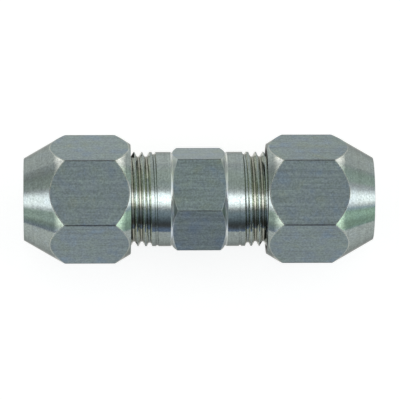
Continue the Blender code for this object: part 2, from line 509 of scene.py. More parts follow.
@dataclass(frozen=True)
class ThreadForm:
    """A right-hand thread of sixty degrees, with the grooves that cut it.

    The crest's helix crosses +Y at crest_station, and a crest is the middle of the land between grooves. An
    overcut is how far a cutter's section reaches out of the metal.
    """

    pitch: float = 25.4 / 14 * MM
    crest_radius: float = 11.1 * MM
    root_radius: float = 10.03 * MM
    crest_flat: float = 0.227 * MM
    crest_station: float = 13.34 * MM
    overcut: float = 0.12 * MM
    nut_minor_radius: float = 10.25 * MM
    nut_major_radius: float = 11.25 * MM
    nut_crest_flat: float = 0.45 * MM
    nut_overcut: float = 0.15 * MM
    flank: float = math.radians(30)

    def groove(self, land: float, surface: float, floor: float, mouth: float) -> list[Point]:
        """The section of a groove between two lands.

        Args:
            land: The width of a land.
            surface: The radius of the lands.
            floor: The radius of the groove's floor.
            mouth: The radius, off the metal, where the cutter ends.

        Returns:
            Points as (distance along the bore from the groove's middle, radius).
        """
        half = (self.pitch - land) / 2
        deep = half - abs(floor - surface) * math.tan(self.flank)
        wide = half + abs(mouth - surface) * math.tan(self.flank)
        return [(-wide, mouth), (-deep, floor), (deep, floor), (wide, mouth)]

    def first_turn(self, middle: float, start: float) -> float:
        """The station of the first turn of a groove at or before a start."""
        return middle - math.ceil((middle - start) / self.pitch) * self.pitch

    def coil(self, name: str, section: Sequence[Point], start: float, end: float) -> Piece:
        """Wind a closed section along the thread's helix.

        Args:
            name: The new object's name.
            section: Points as (distance along the bore from the section's middle, radius).
            start: The station, at +Y, where the coil begins.
            end: The station that the coil has to reach.

        Returns:
            The closed coil.
        """
        piece = draw_outline(name, [(start + x, r) for x, r in section])
        screw = piece.modifiers.new("wind", "SCREW")
        screw.axis = "X"
        screw.angle = math.tau
        screw.screw_offset = self.pitch
        screw.iterations = math.ceil((end - start) / self.pitch)
        screw.steps = screw.render_steps = COIL_STEPS
        screw.use_merge_vertices = False
        apply_all(piece)
        with editing(piece):
            bpy.ops.mesh.select_non_manifold()
            bpy.ops.mesh.fill_holes(sides=0)
        close_up(piece)
        return piece

    def outside_cutter(self, start: float, end: float, run_out: float) -> Piece:
        """The groove of an outside thread, which runs out of the metal at its inner end.

        Args:
            start: The station where the run-out ends.
            end: The station that the groove has to pass.
            run_out: How many turns the cutter takes to reach its full depth.

        Returns:
            The cutter.
        """
        top = self.crest_radius + self.overcut
        section = self.groove(self.crest_flat, self.crest_radius, self.root_radius, top)
        first = self.first_turn(self.crest_station - self.pitch / 2, start)
        cutter = self.coil("thread_groove", section, first, end + self.pitch)
        steps = round(run_out * COIL_STEPS)
        with editing(cutter):
            for step in range(steps):
                lift = 1 + (top / self.root_radius - 1) * (1 - step / steps)
                self.lift_section(cutter, first, step, len(section), lift)
        return cutter

    def lift_section(self, cutter: Piece, first: float, step: int, count: int, lift: float) -> None:
        """Move one section of a coil outwards, in edit mode.

        Args:
            cutter: The coil.
            first: The station of its first section.
            step: The number of the section along the coil.
            count: The number of points in a section.
            lift: The factor of its radius.
        """
        angle = math.tau * step / COIL_STEPS
        station = first + self.pitch * step / COIL_STEPS
        side = Vector((0.0, -math.sin(angle), math.cos(angle)))
        out = Vector((0.0, math.cos(angle), math.sin(angle)))
        found = select(cutter, Pick.VERTS, lambda vert: abs(vert.co.x - station) < self.pitch / 2
                       and abs(vert.co.dot(side)) < ON_PLANE and vert.co.dot(out) > 0.0)
        if found != count:
            raise ValueError(f"section {step} of {cutter.name} has {found} points, not {count}")
        bpy.ops.transform.resize(value=(1.0, lift, lift), center_override=(0.0, 0.0, 0.0))

    def inside_cutter(self, start: float, end: float) -> Piece:
        """The groove of the nut's thread, which faces the crests of the outside thread.

        Args:
            start: A station before the nut's face.
            end: A station in the relief behind the nut's thread.

        Returns:
            The cutter.
        """
        section = self.groove(self.nut_crest_flat, self.nut_minor_radius, self.nut_major_radius,
                              self.nut_minor_radius - self.nut_overcut)
        return self.coil("nut_groove", section, self.first_turn(self.crest_station, start), end - self.pitch)


THREAD = ThreadForm()


class Wiring:
    """Adds and links the nodes of one material or world."""

    def __init__(self, tree: bpy.types.NodeTree) -> None:
        """Take a tree and empty it."""
        self.tree = tree
        tree.nodes.clear()

    def fill(self, node: bpy.types.Node, inputs: Inputs) -> None:
        """Link or set the inputs of a node.

        Args:
            node: The node.
            inputs: Output sockets or constants, by the input's name or number.
        """
        for key, value in inputs.items():
            if isinstance(value, Socket):
                self.tree.links.new(value, node.inputs[key])
            else:
                node.inputs[key].default_value = value

    def node(self, kind: str, inputs: Inputs | None = None, **settings: object) -> bpy.types.Node:
        """Add a node.

        Args:
            kind: The node's type.
            inputs: Output sockets or constants for its inputs.
            settings: Values for its properties.

        Returns:
            The node.
        """
        added = self.tree.nodes.new(kind)
        for name, value in settings.items():
            setattr(added, name, value)
        self.fill(added, inputs or {})
        return added

    def end(self, kind: str, shader: bpy.types.Node) -> None:
        """End the tree with an output node that takes a shader."""
        self.node(kind, {"Surface": shader.outputs[0]})

    def math(self, operation: str, first: object, second: object = 0.0) -> Socket:
        """A sum on one or two values."""
        return self.node("ShaderNodeMath", {0: first, 1: second}, operation=operation).outputs[0]

    def times(self, first: object, second: object) -> Socket:
        """The product of two values."""
        return self.math("MULTIPLY", first, second)

    def spread(self, value: object, low: float, high: float, start: float = 0.0, stop: float = 1.0) -> Socket:
        """Map a value, clamped, so that it is low at start and high at stop."""
        return self.node("ShaderNodeMapRange", {0: value, 1: start, 2: stop, 3: low, 4: high}).outputs[0]

    def vector(self, x: object, y: object, z: object) -> Socket:
        """A vector of three values."""
        return self.node("ShaderNodeCombineXYZ", {0: x, 1: y, 2: z}).outputs[0]

    def split(self, vector: Socket) -> Sequence[Socket]:
        """The three values of a vector."""
        return self.node("ShaderNodeSeparateXYZ", {0: vector}).outputs

    def radius(self, y: Socket, z: Socket) -> Socket:
        """The distance from the bore's axis."""
        return self.math("SQRT", self.math("ADD", self.times(y, y), self.times(z, z)))

    def noise(self, vector: Socket, scale: float, detail: float, roughness: float = 0.6) -> Socket:
        """A noise pattern from 0 to 1, with its waves to the metre, its octaves and their fall."""
        inputs = {"Vector": vector, "Scale": scale, "Detail": detail, "Roughness": roughness}
        return self.node("ShaderNodeTexNoise", inputs).outputs["Fac"]

    def mix(self, factor: object, first: object, second: object, blend: str = "MIX") -> Socket:
        """Mix two colours, which are sockets or have an alpha."""
        inputs = {"Factor": factor, 6: first, 7: second}
        return self.node("ShaderNodeMix", inputs, data_type="RGBA", blend_type=blend).outputs[2]

    def bump(self, height: Socket, depth: float) -> Socket:
        """A normal that follows a height from 0 to 1, with its depth in metres."""
        inputs = {"Strength": 1.0, "Distance": depth, "Height": height}
        return self.node("ShaderNodeBump", inputs).outputs["Normal"]

    def ramp(self, factor: object, stops: Sequence[tuple[float, Colour]]) -> Socket:
        """A colour for each value of a factor.

        Args:
            factor: The value to look up.
            stops: Places from 0 to 1 with their colours.

        Returns:
            The colour.
        """
        added = self.node("ShaderNodeValToRGB", {"Fac": factor})
        elements = added.color_ramp.elements
        while len(elements) < len(stops):
            elements.new(0.5)
        for element, (place, colour) in zip(elements, stops):
            element.position = place
            element.color = (*colour, 1.0)
        return added.outputs["Color"]


class Surface(Wiring):
    """The wiring of a piece's material, with the place on the piece and the shader."""

    def __init__(self, name: str) -> None:
        """Make a material with an empty surface."""
        self.material = bpy.data.materials.new(name)
        self.material.use_nodes = True
        super().__init__(self.material.node_tree)
        self.place = self.node("ShaderNodeTexCoord").outputs["Object"]
        self.shader = self.node("ShaderNodeBsdfPrincipled")
        self.end("ShaderNodeOutputMaterial", self.shader)


@dataclass(frozen=True)
class PlatedSteel:
    """Bright zinc plate over steel, with the tool marks that show through it.

    Attributes:
        name: The material's name.
        colour: The plate's mean colour, where it has no wear.
        roughness: The roughness between marks.
        rough_marks: How much the marks add to the roughness.
        lay: The direction of the marks.
        depth: The depth of the marks.
        shade: How much the marks darken the colour.
        grain: How much the plate's fine crystals vary the colour.
        grazing: The brightness of reflections at a grazing angle.
        tint: How strong the plate's faint blue and olive clouds are.
        wear: Radii with the colour that the plate is painted there, lighter or darker as painted highlights
            and shade, from the bore outwards, or none.
        ragged: How far the limits of the painted colours wander.
        clouds: The tints of the clouds over their noise pattern.
    """

    name: str
    colour: Colour
    roughness: float
    rough_marks: float
    lay: Lay
    depth: float
    shade: float = 0.2
    grain: float = 0.0
    grazing: float = 0.5
    tint: float = 0.5
    wear: Sequence[tuple[float, Colour]] = ()
    ragged: float = 0.05 * MM
    clouds: Sequence[tuple[float, Colour]] = (
        (0.30, (0.86, 0.97, 1.20)), (0.46, PLAIN), (0.58, (1.0, 1.04, 0.96)), (0.72, (1.10, 1.06, 0.82)),
    )

    def marks(self, surface: Surface) -> Socket:
        """The height of the tool marks.

        Args:
            surface: The material's wiring.

        Returns:
            A height from 0 to 1.
        """
        x, y, z = surface.split(surface.place)
        if self.lay is Lay.ALONG:
            place = surface.vector(surface.times(x, DRAWN_PULL), y, z)
        else:
            sweep = surface.times(surface.math("ARCTAN2", z, y), TURNED_PULL)
            place = surface.vector(x, surface.radius(y, z), sweep)
        fine = surface.times(surface.noise(place, FINE_MARKS, 3.0), FINE_SHARE)
        broad = surface.times(surface.noise(place, BROAD_MARKS, 2.0, 0.5), 1.0 - FINE_SHARE)
        return surface.math("ADD", fine, broad)

    def worn(self, surface: Surface, cloud: Socket) -> Socket:
        """The plate's colour where it depends on the radius, painted lighter or darker as highlights and
        shade.

        Args:
            surface: The material's wiring.
            cloud: The pattern that the limits of the painted colours wander with.

        Returns:
            The colour.
        """
        _, y, z = surface.split(surface.place)
        first, last = self.wear[0][0], self.wear[-1][0]
        wander = surface.times(surface.math("SUBTRACT", cloud, 0.5), self.ragged)
        place = surface.spread(surface.math("ADD", surface.radius(y, z), wander), 0.0, 1.0, first, last)
        stops = [((reach - first) / (last - first), colour) for reach, colour in self.wear]
        return surface.ramp(place, stops)

    def make(self) -> bpy.types.Material:
        """Build the material's nodes."""
        surface = Surface(self.name)
        lines = self.marks(surface)
        crystals = surface.noise(surface.place, CRYSTALS, 2.0)
        cloud = surface.noise(surface.place, CLOUDS, 3.0)
        base = self.worn(surface, cloud) if self.wear else (*self.colour, 1.0)
        clouded = surface.mix(1.0, base, surface.ramp(cloud, self.clouds), "MULTIPLY")
        streaks = surface.times(surface.spread(lines, 1.0 - self.shade, 1.0 + self.shade, *NOISE_RANGE),
                                surface.spread(crystals, 1.0 - self.grain, 1.0 + self.grain, *NOISE_RANGE))
        grey = surface.vector(streaks, streaks, streaks)
        marked = self.roughness + self.rough_marks
        surface.fill(surface.shader, {
            "Base Color": surface.mix(1.0, surface.mix(self.tint, base, clouded), grey, "MULTIPLY"),
            "Roughness": surface.spread(lines, self.roughness, marked, *NOISE_RANGE),
            "Metallic": 1.0,
            "Specular Tint": (self.grazing, self.grazing, self.grazing, 1.0),
            "Normal": surface.bump(lines, self.depth),
        })
        return surface.material


@dataclass(frozen=True)
class PlainSteel:
    """Bare steel with fine turning marks and a film of oil.

    Attributes:
        name: The material's name.
        colour: The steel's colour.
        heat: The colour of its stained patches.
        roughness: The roughness under oil and where it is dry.
        depth: The depth of the marks.
        stains: Where in their pattern the patches begin and are full.
    """

    name: str
    colour: Colour
    heat: Colour
    roughness: tuple[float, float]
    depth: float = 0.002 * MM
    stains: tuple[float, float] = (0.42, 0.68)

    def make(self) -> bpy.types.Material:
        """Build the material's nodes."""
        surface = Surface(self.name)
        x, y, z = surface.split(surface.place)
        lines = surface.noise(surface.vector(x, surface.radius(y, z), 0.0), TURNING_MARKS, 2.0, 0.5)
        patches = surface.noise(surface.place, OIL_PATCHES, 3.0)
        stained = surface.spread(patches, 0.0, 1.0, *self.stains)
        surface.fill(surface.shader, {
            "Base Color": surface.mix(stained, (*self.colour, 1.0), (*self.heat, 1.0)),
            "Roughness": surface.spread(patches, *self.roughness, *NOISE_RANGE),
            "Metallic": 1.0,
            "Normal": surface.bump(lines, self.depth),
        })
        return surface.material


@dataclass(frozen=True)
class MouldedRubber:
    """Black rubber with a fine mould grain and a little dust.

    Attributes:
        name: The material's name.
        colour: The rubber's colour.
        dust: The colour of the dust on it.
        roughness: The roughness of the grain's floor and top.
        depth: The depth of the grain.
        dusty: How the share of dust grows over its pattern.
    """

    name: str
    colour: Colour
    dust: Colour
    roughness: tuple[float, float] = (0.48, 0.68)
    depth: float = 0.006 * MM
    dusty: Fade = (0.0, 0.5, 0.5, 0.75)

    def make(self) -> bpy.types.Material:
        """Build the material's nodes."""
        surface = Surface(self.name)
        grain = surface.noise(surface.place, MOULD_GRAIN, 3.0)
        dusty = surface.spread(surface.noise(surface.place, DUST_PATCHES, 4.0), *self.dusty)
        surface.fill(surface.shader, {
            "Base Color": surface.mix(dusty, (*self.colour, 1.0), (*self.dust, 1.0)),
            "Roughness": surface.spread(grain, *self.roughness),
            "Normal": surface.bump(grain, self.depth),
        })
        return surface.material


Finish = PlatedSteel | PlainSteel | MouldedRubber
PLATE: Colour = (0.294, 0.335, 0.335)
DRAWN_FLAT = PlatedSteel("zinc_drawn_flat", (0.249, 0.299, 0.322), 0.42, 0.12, Lay.ALONG, 0.003 * MM,
                         shade=0.26, grain=0.24, grazing=0.85, tint=0.6)
# Painted highlight: the nut's cones are painted much lighter towards the hexagon's corners, from 13.7 mm to
# 14.5 mm out.
TURNED_FACE = PlatedSteel("zinc_turned", PLATE, 0.08, 0.05, Lay.AROUND, 0.0004 * MM,
                          shade=0.12, grain=0.2, tint=0.15, ragged=0.6 * MM,
                          wear=((13.7 * MM, PLATE), (14.5 * MM, (0.9, 0.93, 0.9))))
# Painted shade: the roundings of the hexagon's long edges are painted darker than the flats, so that they
# show as dark lines.
HEX_EDGE_SHADE = PlatedSteel("zinc_hex_edge_painted_shade", (0.15, 0.168, 0.18), 0.4, 0.12, Lay.ALONG, 0.002 * MM, grain=0.25)
# Painted highlight: the ends of the body's hexagon are painted light, lightest at the relief beside the neck.
RIM_HIGHLIGHT = PlatedSteel("zinc_rim_painted_highlight", PLATE, 0.28, 0.1, Lay.AROUND, 0.0004 * MM,
                         wear=((11.0 * MM, (0.74, 0.77, 0.77)), (11.3 * MM, (0.44, 0.49, 0.5))))
BROKEN_EDGE = PlatedSteel("zinc_broken_edge", (0.4, 0.43, 0.42), 0.22, 0.1, Lay.AROUND, 0.0004 * MM)
# Painted light: the thread's flanks are painted about twice as light as the plate. The colour is darker at
# the root, and near the plate's own colour at the crest.
THREAD_FACE = PlatedSteel("zinc_thread", PLATE, 0.07, 0.05, Lay.AROUND, 0.0002 * MM,
                          grain=0.2, grazing=0.6, tint=0.3,
                          wear=((THREAD.root_radius, (0.28, 0.285, 0.25)), (10.12 * MM, (0.56, 0.59, 0.55)),
                                (11.0 * MM, (0.59, 0.62, 0.58)), (11.07 * MM, (0.34, 0.365, 0.35))))
# Painted shade: the rim and lead-in at the nut's thread end are painted almost black.
SHADED_MOUTH = PlatedSteel("zinc_mouth_painted_shade", (0.07, 0.073, 0.07), 0.25, 0.12, Lay.AROUND, 0.0006 * MM)
BORED_FACE = PlatedSteel("zinc_bore", PLATE, 0.34, 0.16, Lay.AROUND, 0.005 * MM)
BRIGHT_STEEL = PlainSteel("washer_bright_steel", (0.52, 0.52, 0.51), (0.44, 0.42, 0.39), (0.24, 0.42))
HARDENED_STEEL = PlainSteel("ring_hardened_steel", (0.27, 0.27, 0.28), (0.17, 0.15, 0.14), (0.3, 0.48))
NITRILE = MouldedRubber("nitrile_rubber", (0.018, 0.018, 0.019), (0.06, 0.06, 0.058))


def lay_on(piece: Piece, base: Finish, regions: Sequence[tuple[Finish, FaceTest]] = ()) -> None:
    """Give a piece its finishes, region by region.

    Args:
        piece: The finished mesh.
        base: The finish of every face that no region takes.
        regions: Finishes with the test for their faces, in the order they are laid on.
    """
    piece.data.materials.clear()
    for finish in (base, *(finish for finish, _ in regions)):
        piece.data.materials.append(bpy.data.materials.get(finish.name) or finish.make())
    with editing(piece):
        for slot, (finish, test) in enumerate(regions, start=1):
            count = select(piece, Pick.FACES, test)
            piece.active_material_index = slot
            bpy.ops.object.material_slot_assign()
            LOG.info("%s: %d faces of %s", piece.name, count, finish.name)


def far_copy(piece: Piece, name: str) -> Piece:
    """Copy a right-hand piece, with its own mesh, to the left end.

    Args:
        piece: The piece at the right end.
        name: The copy's name.

    Returns:
        The copy, in place.
    """
    take(piece)
    bpy.ops.object.duplicate(linked=False)
    copy = bpy.context.object
    copy.name = name
    copy.data.name = name
    copy.rotation_euler = (0.0, math.pi, 0.0)
    bpy.ops.object.transform_apply(location=False, rotation=True, scale=False)
    return copy


@dataclass
class CouplingBody:
    """The hexagon body with its two threaded spigots.

    Its length comes from the frame, and the other sizes of its hexagon, necks and bore are the solid's. The
    reliefs beside the hexagon, the roundings and the threads are added here.
    """

    end: float = measured("coupling_body", 1, "x")
    hexagon: Hexagon = Hexagon(apothem=10.95 * MM, rounding=0.25 * MM, turn=math.radians(11))
    hex_half: float = 6.1 * MM
    hex_chamfer: float = math.radians(56)
    edge: float = 0.05 * MM
    waist_run: float = 0.05 * MM
    neck_radius: float = 11.1 * MM
    relief_radius: float = 10.88 * MM
    relief_slope: float = math.radians(30)
    relief_fillet: float = 0.03 * MM
    rim_reach: float = 0.03 * MM
    rim_tilt: float = 0.1
    spigot_chamfer: float = 0.9 * MM
    mouth_radius: float = 9.4 * MM
    cone: float = math.radians(12)
    cone_fillet: float = 1.0 * MM
    socket_radius: float = 8.1 * MM
    groove_start: float = 5.6 * MM
    groove_end: float = 8.2 * MM
    groove_radius: float = 9.6 * MM
    groove_fillet: float = 0.25 * MM
    stop_half: float = 1.5 * MM
    stop_radius: float = 6.8 * MM
    stop_fillet: float = 0.2 * MM
    thread_start: float = 9.0 * MM
    thread_lead: float = 0.5 * MM
    thread_slack: float = 0.2 * MM
    run_out: float = 1.9

    @property
    def relief_start(self) -> float:
        """The station of the relief's bottom, where the hexagon's end cone reaches it."""
        return self.hex_half + (self.neck_radius - self.relief_radius) / math.tan(self.hex_chamfer)

    @property
    def relief_end(self) -> float:
        """The station where the relief has risen to the neck."""
        return self.relief_start + (self.neck_radius - self.relief_radius) / math.tan(self.relief_slope)

    def outline(self) -> list[Corner]:
        """The outside and the bore, both ends."""
        blank = self.hexagon.corner + CLEAR
        shoulder = self.hex_half - (blank - self.neck_radius) / math.tan(self.hex_chamfer)
        cone_start = self.end - (self.mouth_radius - self.socket_radius) / math.tan(self.cone)
        half = [
            Corner(shoulder, blank),
            Corner(self.relief_start, self.relief_radius, self.relief_fillet),
            Corner(self.relief_end, self.neck_radius, SOFT),
            Corner(self.end - self.spigot_chamfer, self.neck_radius, FINE),
            Corner(self.end, self.neck_radius - self.spigot_chamfer, FINE),
            Corner(self.end, self.mouth_radius, SOFT),
            Corner(cone_start, self.socket_radius, self.cone_fillet),
            Corner(self.groove_end, self.socket_radius, FINE),
            Corner(self.groove_end, self.groove_radius, self.groove_fillet),
            Corner(self.groove_start, self.groove_radius, self.groove_fillet),
            Corner(self.groove_start, self.socket_radius, FINE),
            Corner(self.stop_half, self.socket_radius, self.stop_fillet),
            Corner(self.stop_half, self.stop_radius, SOFT),
        ]
        return half + [Corner(-corner.station, corner.radius, corner.fillet) for corner in reversed(half)]

    def waisted_bar(self) -> Piece:
        """A wide hexagon bar with a waist that leaves the body's flats and ends over the reliefs."""
        start = self.relief_start
        bar = self.hexagon.bar("body_bar", -start, start)
        wide = (self.neck_radius + CLEAR) / self.hexagon.apothem
        far = self.end + CLEAR - start - self.waist_run
        with editing(bar):
            for side in (-1.0, 1.0):
                out = Vector((side, 0.0, 0.0))
                select(bar, Pick.FACES, lambda face: face.normal.dot(out) > STEEP
                       and face.calc_center_median().dot(out) > 0.0)
                bpy.ops.mesh.extrude_region_move(TRANSFORM_OT_translate={"value": out * self.waist_run})
                bpy.ops.transform.resize(value=(1.0, wide, wide), center_override=(0.0, 0.0, 0.0))
                bpy.ops.mesh.extrude_region_move(TRANSFORM_OT_translate={"value": out * far})
        close_up(bar)
        return bar

    def is_hex_edge(self, edge: Edge) -> bool:
        """Whether an edge is a sharp one across the end of a flat."""
        first, second = (vert.co.x for vert in edge.verts)
        across = abs(first - second) < self.hex_half and abs(first + second) / 2 < self.relief_start
        return across and self.hexagon.is_end(edge)

    def is_flat(self, face: Face) -> bool:
        """Whether a face lies on one of the hexagon's flats."""
        return self.hexagon.is_flat(face) and abs(spot(face)[0]) < self.relief_start

    def is_hex_end(self, face: Face) -> bool:
        """Whether a face lies on the cone that ends the hexagon or on the relief beside it."""
        station, radius = spot(face)
        outside = radius > self.relief_radius - NEAR and abs(face.normal.x) > self.rim_tilt
        return outside and abs(station) < self.relief_end + self.rim_reach

    def is_thread(self, face: Face) -> bool:
        """Whether a face is a thread's flank or its full-depth root."""
        station, radius = spot(face)
        depth = radius - THREAD.root_radius
        cut_face = abs(face.normal.x) > STEEP or depth < SKIN
        threaded = self.thread_start - self.thread_lead < abs(station) < self.end - SKIN
        return cut_face and threaded and depth > -self.thread_slack

    def is_bore(self, face: Face) -> bool:
        """Whether a face lies inside the bore."""
        station, radius = spot(face)
        return radius < self.groove_radius + NEAR and abs(station) < self.end - SKIN

    def build(self) -> Piece:
        """Turn the blank, cut its hexagon, break its edges and cut its threads."""
        piece = turned("body_mesh", self.outline(), math.pi / TURN_STEPS - self.hexagon.turn)
        cut(piece, self.waisted_bar(), Keep.INSIDE)
        break_edges(piece, self.is_hex_edge, self.edge)
        right = THREAD.outside_cutter(self.thread_start, self.end, self.run_out)
        left = far_copy(right, "left_groove")
        cut(piece, right, Keep.OUTSIDE)
        cut(piece, left, Keep.OUTSIDE)
        return smoothed(piece)

    def dress(self, piece: Piece) -> None:
        """Lay the finishes on the body's faces."""
        lay_on(piece, TURNED_FACE, [(DRAWN_FLAT, self.is_flat), (HEX_EDGE_SHADE, self.hexagon.is_rounding),
                                    (RIM_HIGHLIGHT, self.is_hex_end), (THREAD_FACE, self.is_thread),
                                    (BORED_FACE, self.is_bore)])


@dataclass
class CompressionNut:
    """The cone-nosed hexagon nut, modelled at the right end.

    Its ends and its flats come from the frame. The flats lie edge_rise lower, because a broken edge stands
    out past them by a little.
    """

    face: float = measured("right_compression_nut", 0, "x")
    nose_end: float = measured("right_compression_nut", 1, "x")
    top: float = measured("right_compression_nut", 1, "z")
    edge_rise: float = 0.012 * MM
    hex_rounding: float = 0.3 * MM
    edge: float = 0.12 * MM
    rim_tilts: tuple[float, float] = (0.03, 0.46)
    face_radius: float = 12.95 * MM
    chamfer: float = math.radians(31.5)
    nose_angle: float = math.radians(30)
    nose_radius: float = 9.66 * MM
    nose_bore: float = 8.2 * MM
    nose_lead_in: float = 0.4 * MM
    lead_in_radius: float = 12.1 * MM
    lead_in_fillet: float = 0.08 * MM
    mouth_margin: float = 0.03 * MM
    mouth_depth: float = 1.5 * MM
    relief_start: float = 27.5 * MM
    relief_end: float = 29.914 * MM
    relief_run: float = 0.5 * MM
    relief_radius: float = 11.4 * MM
    relief_fillet: float = 0.2 * MM
    relief_corner: float = 0.3 * MM
    cavity_radius: float = 10.167 * MM
    shoulder: float = 34.2 * MM

    @property
    def hexagon(self) -> Hexagon:
        """The nut's hexagon."""
        return Hexagon(self.top - self.edge_rise, self.hex_rounding)

    def outline(self) -> list[Corner]:
        """The outside with its two cones, and the stepped bore."""
        blank = self.hexagon.corner + CLEAR
        minor = THREAD.nut_minor_radius
        return [
            Corner(self.nose_end, self.nose_radius, SOFT),
            Corner(self.nose_end - (blank - self.nose_radius) / math.tan(self.nose_angle), blank),
            Corner(self.face + (blank - self.face_radius) / math.tan(self.chamfer), blank),
            Corner(self.face, self.face_radius, FINE),
            Corner(self.face, self.lead_in_radius, self.lead_in_fillet),
            Corner(self.face + self.lead_in_radius - minor, minor, self.lead_in_fillet),
            Corner(self.relief_start, minor, FINE),
            Corner(self.relief_start + self.relief_run, self.relief_radius, self.relief_fillet),
            Corner(self.relief_end, self.relief_radius, self.relief_corner),
            Corner(self.relief_end, self.cavity_radius, SOFT),
            Corner(self.shoulder, self.cavity_radius, SOFT),
            Corner(self.shoulder, self.nose_bore, FINE),
            Corner(self.nose_end - self.nose_lead_in, self.nose_bore, FINE),
            Corner(self.nose_end, self.nose_bore + self.nose_lead_in, FINE),
        ]

    def is_bore(self, face: Face) -> bool:
        """Whether a face lies inside the nut."""
        station, radius = spot(face)
        inside = self.face + SKIN < station < self.nose_end - SKIN
        return inside and radius < self.lead_in_radius and faces_out(face) < STEEP

    def is_mouth(self, face: Face) -> bool:
        """Whether a face lies on the thread end's rim or lead-in."""
        station, radius = spot(face)
        rim = radius < self.face_radius - self.mouth_margin and face.normal.x < -STEEP
        return rim and station < self.face + self.mouth_depth

    def is_rim(self, face: Face) -> bool:
        """Whether a face breaks the edge between a flat and a cone."""
        low, high = self.rim_tilts
        return low < abs(face.normal.x) < high and spot(face)[1] > self.hexagon.apothem - SKIN

    def build(self) -> Piece:
        """Turn the blank, cut its hexagon, break its edges and cut its thread."""
        piece = turned("nut_mesh", self.outline(), math.pi / TURN_STEPS)
        cut(piece, self.hexagon.bar("nut_bar", self.face - CLEAR, self.nose_end + CLEAR), Keep.INSIDE)
        break_edges(piece, self.hexagon.is_end, self.edge)
        cut(piece, THREAD.inside_cutter(self.face - 2 * THREAD.pitch, self.relief_end), Keep.OUTSIDE)
        return smoothed(piece)

    def dress(self, piece: Piece) -> None:
        """Lay the finishes on the nut's faces."""
        lay_on(piece, TURNED_FACE, [(DRAWN_FLAT, self.hexagon.is_flat), (HEX_EDGE_SHADE, self.hexagon.is_rounding),
                                    (BROKEN_EDGE, self.is_rim), (BORED_FACE, self.is_bore),
                                    (SHADED_MOUTH, self.is_mouth)])


@dataclass
class SlipWasher:
    """The stamped washer between the grip ring and the nut's shoulder."""

    front: float = measured("right_slip_washer", 0, "x")
    rear: float = measured("right_slip_washer", 1, "x")
    outer: float = measured("right_slip_washer", 1, "z")
    bore: float = 8.6 * MM
    rolled: float = 0.3 * MM
    crisp: float = 0.06 * MM

    def build(self) -> Piece:
        """Turn a flat ring with the rolled edges of a stamping on its front."""
        return smoothed(turned("washer_mesh", [
            Corner(self.rear, self.outer, self.crisp),
            Corner(self.front, self.outer, self.rolled),
            Corner(self.front, self.bore, self.rolled),
            Corner(self.rear, self.bore, self.crisp),
        ]))

    def dress(self, piece: Piece) -> None:
        """Lay the washer's finish on."""
        lay_on(piece, BRIGHT_STEEL)


@dataclass
class GripRing:
    """The split ring whose teeth bite on the conduit."""

    tip: float = measured("right_grip_ring", 0, "x")
    rear: float = measured("right_grip_ring", 1, "x")
    rear_radius: float = measured("right_grip_ring", 1, "z")
    end_fillet: float = 0.12 * MM
    taper: float = math.radians(12)
    taper_length: float = 4.0 * MM
    taper_fillet: float = 0.3 * MM
    bore: float = 8.05 * MM
    tip_fillet: float = 0.05 * MM
    tooth_depth: float = 0.3 * MM
    tooth_pitch: float = 1.2 * MM
    tooth_root: float = 0.04 * MM
    tooth_crest: float = 0.02 * MM
    teeth: int = 3
    slot: float = 1.5 * MM
    slot_angle: float = math.radians(50)
    edge: float = 0.06 * MM

    def outline(self) -> list[Corner]:
        """The tapered outside and the saw-toothed bore."""
        tip_radius = self.rear_radius - self.taper_length * math.tan(self.taper)
        corners = [
            Corner(self.rear, self.rear_radius, self.end_fillet),
            Corner(self.tip + self.taper_length, self.rear_radius, self.taper_fillet),
            Corner(self.tip, tip_radius, self.end_fillet),
            Corner(self.tip, self.bore, self.tip_fillet),
        ]
        for tooth in range(1, self.teeth + 1):
            station = self.tip + tooth * self.tooth_pitch
            corners.append(Corner(station, self.bore + self.tooth_depth, self.tooth_root))
            corners.append(Corner(station, self.bore, self.tooth_crest))
        corners.append(Corner(self.rear, self.bore, FINE))
        return corners

    def slot_cutter(self) -> Piece:
        """A box that cuts the ring through on its +Y side."""
        clear_selection()
        middle = (self.tip + self.rear) / 2
        bpy.ops.mesh.primitive_cube_add(size=1.0, location=(middle, self.rear_radius, 0.0))
        cutter = bpy.context.object
        cutter.name = "ring_slot"
        cutter.scale = (self.rear - self.tip + CLEAR, self.rear_radius, self.slot)
        bpy.ops.object.transform_apply(location=True, rotation=False, scale=True)
        return cutter

    def is_slot_edge(self, edge: Edge) -> bool:
        """Whether an edge runs round a cut face of the slot."""
        places = [vert.co for vert in edge.verts]
        on_slot = all(abs(abs(place.z) - self.slot / 2) < ON_PLANE and place.y > 0.0 for place in places)
        return on_slot and is_sharp(edge, self.slot_angle)

    def build(self) -> Piece:
        """Turn the ring, split it and break the edges of its slot."""
        piece = turned("ring_mesh", self.outline())
        cut(piece, self.slot_cutter(), Keep.OUTSIDE)
        break_edges(piece, self.is_slot_edge, self.edge, clamp=True)
        return smoothed(piece)

    def dress(self, piece: Piece) -> None:
        """Lay the ring's finish on."""
        lay_on(piece, HARDENED_STEEL)


@dataclass
class SealRing:
    """The rubber ring in the socket's groove, with the parting line of its mould."""

    station: float = field(default_factory=lambda: sum(c.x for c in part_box("right_seal_ring")) / 2)
    section: float = 0.9 * MM
    mean_radius: float = 8.5 * MM
    points: int = 40
    flash: float = 0.025 * MM

    def build(self) -> Piece:
        """Turn a round section that has a thin ridge inside and outside."""
        corners = []
        for index in range(self.points):
            angle = math.tau * index / self.points
            ridge = self.flash if index % (self.points // 2) == 0 else 0.0
            reach = self.section - self.flash + ridge
            corners.append(Corner(self.station + reach * math.sin(angle),
                                  self.mean_radius + reach * math.cos(angle)))
        return smoothed(turned("seal_mesh", corners))

    def dress(self, piece: Piece) -> None:
        """Lay the seal's finish on."""
        lay_on(piece, NITRILE)


